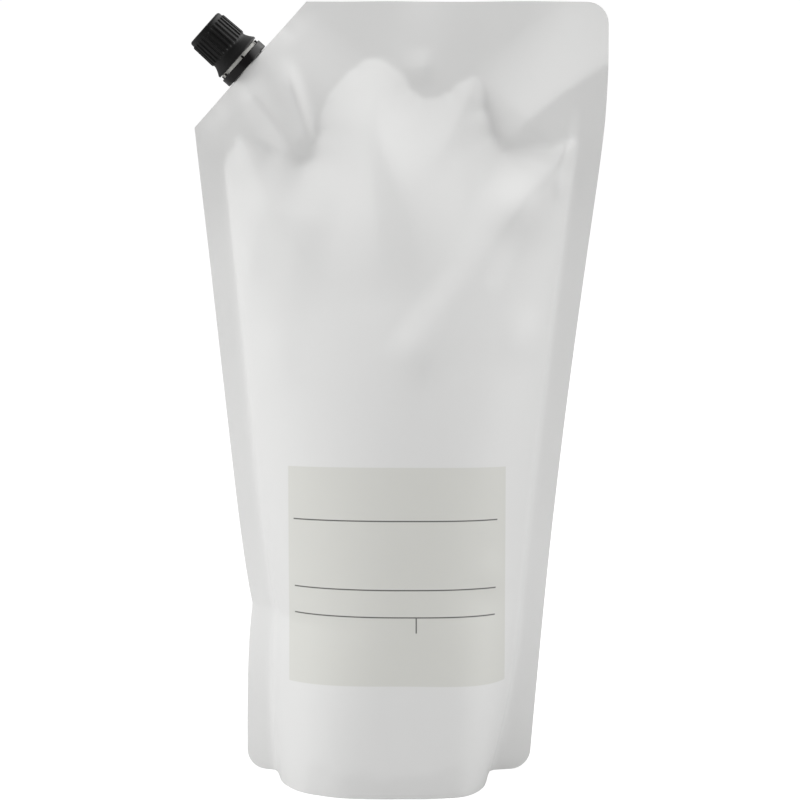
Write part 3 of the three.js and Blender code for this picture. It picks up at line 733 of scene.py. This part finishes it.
def spout(material):
    mouth = reach_on_axis("spout")[1]
    profile = divided(soft_corners([
        (COLLAR_RADIUS, 0), (COLLAR_RADIUS, BEAD_FOOT), (BEAD_RADIUS, BEAD_FOOT), (BEAD_RADIUS, BEAD_TOP),
        (NECK_RADIUS, BEAD_TOP), (NECK_RADIUS, mouth), (BORE_RADIUS, mouth), (BORE_RADIUS, -WELD_DEPTH),
    ], SPOUT_EDGE), SPOUT_ROW)
    on_neck = (profile[:, 1] > BEAD_TOP) & (profile[:, 0] > NECK_RADIUS - MERGE)

    def thread(angle, height):
        return np.where(on_neck[:, None], thread_rise(angle, height), 0)

    neck = turned(profile, SPOUT_STEPS, thread)
    turn = np.linspace(0, 2 * math.pi, SPOUT_STEPS, endpoint=False)
    along = (WELD_LENGTH / 2 + CLEARANCE) * np.cos(turn)
    across = np.where(np.sin(turn) >= 0, 1, -1) * weld_profile(along, CLEARANCE)
    foot = [np.stack([along, across, np.full_like(along, height)], -1) for height in (-WELD_DEPTH, 0)]
    draft = Draft()
    draft.add_skin(np.concatenate([neck[-1:], foot, neck]))
    return mesh_piece("spout_moulding", draft, material, "pack", "spout", spout_frame())


def tamper_ring(material):
    foot, bridge_top, radius = reach_on_axis("tamper_ring")
    top = foot + RING_HEIGHT
    lip = (RING_LIP_RADIUS, foot + RING_LIP)
    section = soft_corners([
        lip, (RING_LIP_RADIUS, foot), (radius, foot), (radius, top),
        (RING_ROOM_RADIUS, top), (RING_ROOM_RADIUS, foot + RING_LIP), lip,
    ], RING_EDGE)
    draft = Draft()
    draft.add_skin(turned(section, RING_STEPS))
    outer = radius - BRIDGE_INSET
    inner = outer - BRIDGE_DEPTH
    for angle in np.radians(BRIDGE_TURN + np.arange(BRIDGES) * 360 / BRIDGES):
        outwards = np.array([math.cos(angle), math.sin(angle), 0])
        sideways = np.array([-math.sin(angle), math.cos(angle), 0])
        levels = []
        for height, half in zip((top - RING_EDGE, top, bridge_top), BRIDGE_HALVES):
            corners = [(outer, -half), (outer, half), (inner, half), (inner, -half)]
            levels.append([outwards * r + sideways * w + [0, 0, height] for r, w in corners])
        draft.add_skin(np.array(levels), ends=True)
    return mesh_piece("tamper_ring_moulding", draft, material, "ring", "tamper_ring",
                      spout_frame())


def cap(material):
    foot, top, skirt = reach_on_axis("cap")
    flare_top = foot + CAP_FLARE
    waist = skirt - CAP_FLARE_OUT
    crown = waist - CAP_TAPER
    rib_top, rib_foot = top - RIB_START, flare_top + RIB_END
    inside = [(0, top - CAP_TOP_WALL), (CAP_ROOM, top - CAP_TOP_WALL), (CAP_ROOM, flare_top)]
    flare = [
        (waist + CAP_FLARE_OUT * t**CAP_FLARE_CURVE, mix(flare_top, foot + CAP_LIP, t))
        for t in np.linspace(1, 0, FLARE_STEPS)
    ]
    hem = soft_corners([(skirt - CAP_SKIRT_WALL, foot), (skirt, foot), flare[0]], CAP_HEM)
    wall = divided([flare[-1], (crown, top - CAP_EDGE)], RIB_ROW)
    quarter = np.linspace(0, math.pi / 2, CAP_EDGE_STEPS + 1)
    edge = np.stack([crown - CAP_EDGE * (1 - np.cos(quarter)), top - CAP_EDGE * (1 - np.sin(quarter))], 1)
    profile = np.array([*inside, *hem, *flare[1:], *wall[1:], *edge[1:], (0, top)])
    above_hem = np.arange(len(profile)) > len(inside) + len(hem)

    def ribs(angle, height):
        radius = mix(waist, crown, (height - flare_top) / (top - flare_top))
        turns = angle * RIBS / (2 * math.pi)
        across = (turns - np.round(turns)) * 2 * math.pi * radius / RIBS
        beyond = np.maximum(0, np.maximum(height - rib_top, rib_foot - height) + RIB_HALF)
        bar = RIB_DEPTH * ease((RIB_HALF - np.hypot(across, beyond)) / RIB_RAMP)
        return np.where(above_hem[:, None], bar, 0)

    draft = Draft()
    draft.add_skin(turned(profile, RIBS * STEPS_PER_RIB, ribs))
    return mesh_piece("cap_moulding", draft, material, "cap", "cap", spout_frame())


# Materials
def linear(hex_colour):
    """Linear colour of an sRGB hex value."""
    values = [int(hex_colour[k:k + 2], 16) / 255 for k in (1, 3, 5)]
    return (*[v / 12.92 if v <= 0.04045 else ((v + 0.055) / 1.055) ** 2.4 for v in values], 1)


def add_node(tree, kind, inputs=(), **settings):
    """Adds a node with its settings; an input is given a value, or a socket to link from."""
    node = tree.nodes.new(kind)
    for name, value in settings.items():
        setattr(node, name, value)
    for key, value in dict(inputs).items():
        if isinstance(value, bpy.types.NodeSocket):
            tree.links.new(value, node.inputs[key])
        else:
            node.inputs[key].default_value = value
    return node


def new_material(name):
    material = bpy.data.materials.new(name)
    material.use_nodes = True
    material.node_tree.nodes.clear()
    return material, material.node_tree


def printed_field(tree, place, box):
    """1 inside a rectangle on the front film, 0 outside, with a print's soft edge."""
    left, right, low, high = box
    inside = None
    for axis, start, end in zip(place, (left, low), (right, high)):
        offset = add_node(tree, "ShaderNodeMath", {0: axis, 1: (start + end) / 2 * MM}, operation="SUBTRACT")
        distance = add_node(tree, "ShaderNodeMath", {0: offset.outputs[0]}, operation="ABSOLUTE")
        half = (end - start) / 2
        share = add_node(tree, "ShaderNodeMapRange", {
            "Value": distance.outputs[0],
            "From Min": (half + PRINT_EDGE) * MM, "From Max": (half - PRINT_EDGE) * MM,
            "To Min": 0.0, "To Max": 1.0,
        })
        if inside is None:
            inside = share
        else:
            inside = add_node(tree, "ShaderNodeMath", {0: inside.outputs[0], 1: share.outputs[0]},
                              operation="MULTIPLY")
    return inside


def laminate_film():
    # Polyethylene film, laminated matt and printed in rolls: a satin white skin whose lights are broad and
    # soft, faintly wavy from the rollers, with a flat grey field and thin black rules that share its sheen
    material, tree = new_material("matt_laminated_polyethylene_film")
    coordinates = add_node(tree, "ShaderNodeTexCoord")
    place = add_node(tree, "ShaderNodeSeparateXYZ", {0: coordinates.outputs["Object"]})
    front = add_node(tree, "ShaderNodeMapRange", {
        "Value": place.outputs["Y"], "From Min": 0.0, "From Max": -PRINT_STAND * MM,
        "To Min": 0.0, "To Max": 1.0,
    })
    from_middle = add_node(tree, "ShaderNodeMath", {0: place.outputs["X"], 1: PRINT_MIDDLE * MM},
                           operation="SUBTRACT")
    squared = add_node(tree, "ShaderNodeMath", {0: from_middle.outputs[0], 1: 2.0}, operation="POWER")
    height = add_node(tree, "ShaderNodeMath", {
        0: squared.outputs[0], 1: PRINT_ARCH / PRINT_HALF**2 / MM, 2: place.outputs["Z"],
    }, operation="MULTIPLY_ADD")
    colour = linear(FILM_WHITE)
    for box, ink in [(LABEL, LABEL_INK), *[(rule, RULE_INK) for rule in RULES]]:
        field = printed_field(tree, (place.outputs["X"], height.outputs[0]), box)
        share = add_node(tree, "ShaderNodeMath", {0: field.outputs[0], 1: front.outputs[0]},
                         operation="MULTIPLY")
        printed = add_node(tree, "ShaderNodeMix", {
            MIX_SHARE: share.outputs[0], FIRST_COLOUR: colour, SECOND_COLOUR: linear(ink),
        }, data_type="RGBA")
        colour = printed.outputs[MIXED_COLOUR]
    ripple = add_node(tree, "ShaderNodeTexNoise", {
        "Vector": coordinates.outputs["Object"], "Scale": 1 / (FILM_RIPPLE * MM),
        "Detail": FILM_RIPPLE_DETAIL, "Roughness": FILM_RIPPLE_FINENESS,
    })
    bump = add_node(tree, "ShaderNodeBump", {
        "Height": ripple.outputs[0], "Strength": 1.0, "Distance": FILM_RIPPLE_HEIGHT * MM,
    })
    satin = add_node(tree, "ShaderNodeMapRange", {
        "Value": ripple.outputs[0], "From Min": NOISE_SPAN[0], "From Max": NOISE_SPAN[1],
        "To Min": FILM_ROUGHNESS[0], "To Max": FILM_ROUGHNESS[1],
    })
    shader = add_node(tree, "ShaderNodeBsdfPrincipled", {
        "Base Color": colour, "Roughness": satin.outputs[0], "Normal": bump.outputs[0], "IOR": FILM_IOR,
    })
    add_node(tree, "ShaderNodeOutputMaterial", {"Surface": shader.outputs[0]})
    return material


def moulded_plastic(name, colour, roughness, grain):
    # Polyolefin, injection-moulded: one colour right through, and a sheen broken up by the grain of the mould
    material, tree = new_material(name)
    coordinates = add_node(tree, "ShaderNodeTexCoord")
    texture = add_node(tree, "ShaderNodeTexNoise", {
        "Vector": coordinates.outputs["Object"], "Scale": 1 / (MOULD_GRAIN * MM),
        "Detail": MOULD_GRAIN_DETAIL,
    })
    bump = add_node(tree, "ShaderNodeBump", {
        "Height": texture.outputs[0], "Strength": 1.0, "Distance": grain * MM,
    })
    gloss = add_node(tree, "ShaderNodeMapRange", {
        "Value": texture.outputs[0], "From Min": NOISE_SPAN[0], "From Max": NOISE_SPAN[1],
        "To Min": roughness - ROUGHNESS_SPREAD, "To Max": roughness + ROUGHNESS_SPREAD,
    })
    shader = add_node(tree, "ShaderNodeBsdfPrincipled", {
        "Base Color": linear(colour), "Roughness": gloss.outputs[0], "Normal": bump.outputs[0],
        "IOR": PLASTIC_IOR,
    })
    add_node(tree, "ShaderNodeOutputMaterial", {"Surface": shader.outputs[0]})
    return material


def spout_plastic():
    # Natural polyethylene from a fine mould: milky white, waxy and half matt
    return moulded_plastic("natural_polyethylene_moulding", SPOUT_WHITE, SPOUT_ROUGHNESS, SPOUT_GRAIN)


def ring_plastic():
    # Black polypropylene from a polished mould: deep black with clear bright reflections
    return moulded_plastic("glossy_black_polypropylene_moulding", RING_BLACK, RING_ROUGHNESS, RING_GRAIN)


def cap_plastic():
    # Black polypropylene from an eroded mould: black with a soft grey sheen along the ribs
    return moulded_plastic("black_polypropylene_moulding", CAP_BLACK, CAP_ROUGHNESS, CAP_GRAIN)


# Stage, light and camera
def floor():
    bpy.ops.mesh.primitive_plane_add(size=FLOOR_SIZE)
    plane = bpy.context.object
    plane.name = "floor"
    material, tree = new_material("white_card")
    path = add_node(tree, "ShaderNodeLightPath")
    seen = path.outputs["Is Camera Ray"]
    unseen = add_node(tree, "ShaderNodeMix", {
        MIX_SHARE: path.outputs["Is Glossy Ray"], FIRST_NUMBER: FLOOR_BOUNCE, SECOND_NUMBER: FLOOR_MIRRORED,
    })
    grey = add_node(tree, "ShaderNodeMix", {
        MIX_SHARE: seen, FIRST_NUMBER: unseen.outputs[0], SECOND_NUMBER: FLOOR_GREY,
    })
    card = add_node(tree, "ShaderNodeBsdfDiffuse", {"Color": grey.outputs[0]})
    glow = add_node(tree, "ShaderNodeMath", {0: seen, 1: FLOOR_GLOW}, operation="MULTIPLY")
    lit = add_node(tree, "ShaderNodeEmission", {"Strength": glow.outputs[0]})
    both = add_node(tree, "ShaderNodeAddShader", {0: card.outputs[0], 1: lit.outputs[0]})
    add_node(tree, "ShaderNodeOutputMaterial", {"Surface": both.outputs[0]})
    plane.data.materials.append(material)


def world_light():
    world = bpy.data.worlds.new("studio")
    bpy.context.scene.world = world
    world.use_nodes = True
    tree = world.node_tree
    tree.nodes.clear()
    path = add_node(tree, "ShaderNodeLightPath")
    direction = add_node(tree, "ShaderNodeTexCoord")
    mirrored = ROOM_DARK
    for light, towards, (start, full) in ROOM_LIGHTS:
        facing = add_node(tree, "ShaderNodeVectorMath", {0: direction.outputs["Generated"], 1: towards},
                          operation="DOT_PRODUCT")
        share = add_node(tree, "ShaderNodeMapRange", {
            "Value": facing.outputs["Value"], "From Min": start, "From Max": full,
            "To Min": 0.0, "To Max": light,
        })
        mirrored = add_node(tree, "ShaderNodeMath", {0: share.outputs[0], 1: mirrored}).outputs[0]
    unseen = add_node(tree, "ShaderNodeMix", {
        MIX_SHARE: path.outputs["Is Glossy Ray"], FIRST_NUMBER: WORLD_LIGHT, SECOND_NUMBER: mirrored,
    })
    strength = add_node(tree, "ShaderNodeMix", {
        MIX_SHARE: path.outputs["Is Camera Ray"], FIRST_NUMBER: unseen.outputs[0], SECOND_NUMBER: WORLD_SEEN,
    })
    sky = add_node(tree, "ShaderNodeBackground", {"Strength": strength.outputs[0]})
    add_node(tree, "ShaderNodeOutputWorld", {"Surface": sky.outputs[0]})


def lamp(name, place, size, power, mirrored):
    light = bpy.data.lights.new(name, "AREA")
    light.shape = "RECTANGLE"
    light.size, light.size_y = size
    light.energy = power
    lamp_object = bpy.data.objects.new(name, light)
    lamp_object.visible_glossy = mirrored
    lamp_object.location = place
    aim = Vector((0, 0, HEIGHT / 2 * MM))
    lamp_object.rotation_euler = (aim - Vector(place)).to_track_quat("-Z", "Y").to_euler()
    bpy.context.scene.collection.objects.link(lamp_object)


def camera():
    lens = bpy.data.cameras.new("camera")
    lens.lens = CAMERA_LENS
    lens.sensor_width = CAMERA_SENSOR
    view = bpy.data.objects.new("camera", lens)
    view.location = np.array(CAMERA_PLACE) * MM
    view.rotation_euler = (math.radians(90 - CAMERA_PITCH), 0, 0)
    bpy.context.scene.collection.objects.link(view)
    bpy.context.scene.camera = view


pouch(laminate_film())
spout(spout_plastic())
tamper_ring(ring_plastic())
cap(cap_plastic())
floor()
world_light()
for lamp_values in LAMPS:
    lamp(*lamp_values)
camera()
bpy.context.scene.view_settings.view_transform = "Standard"
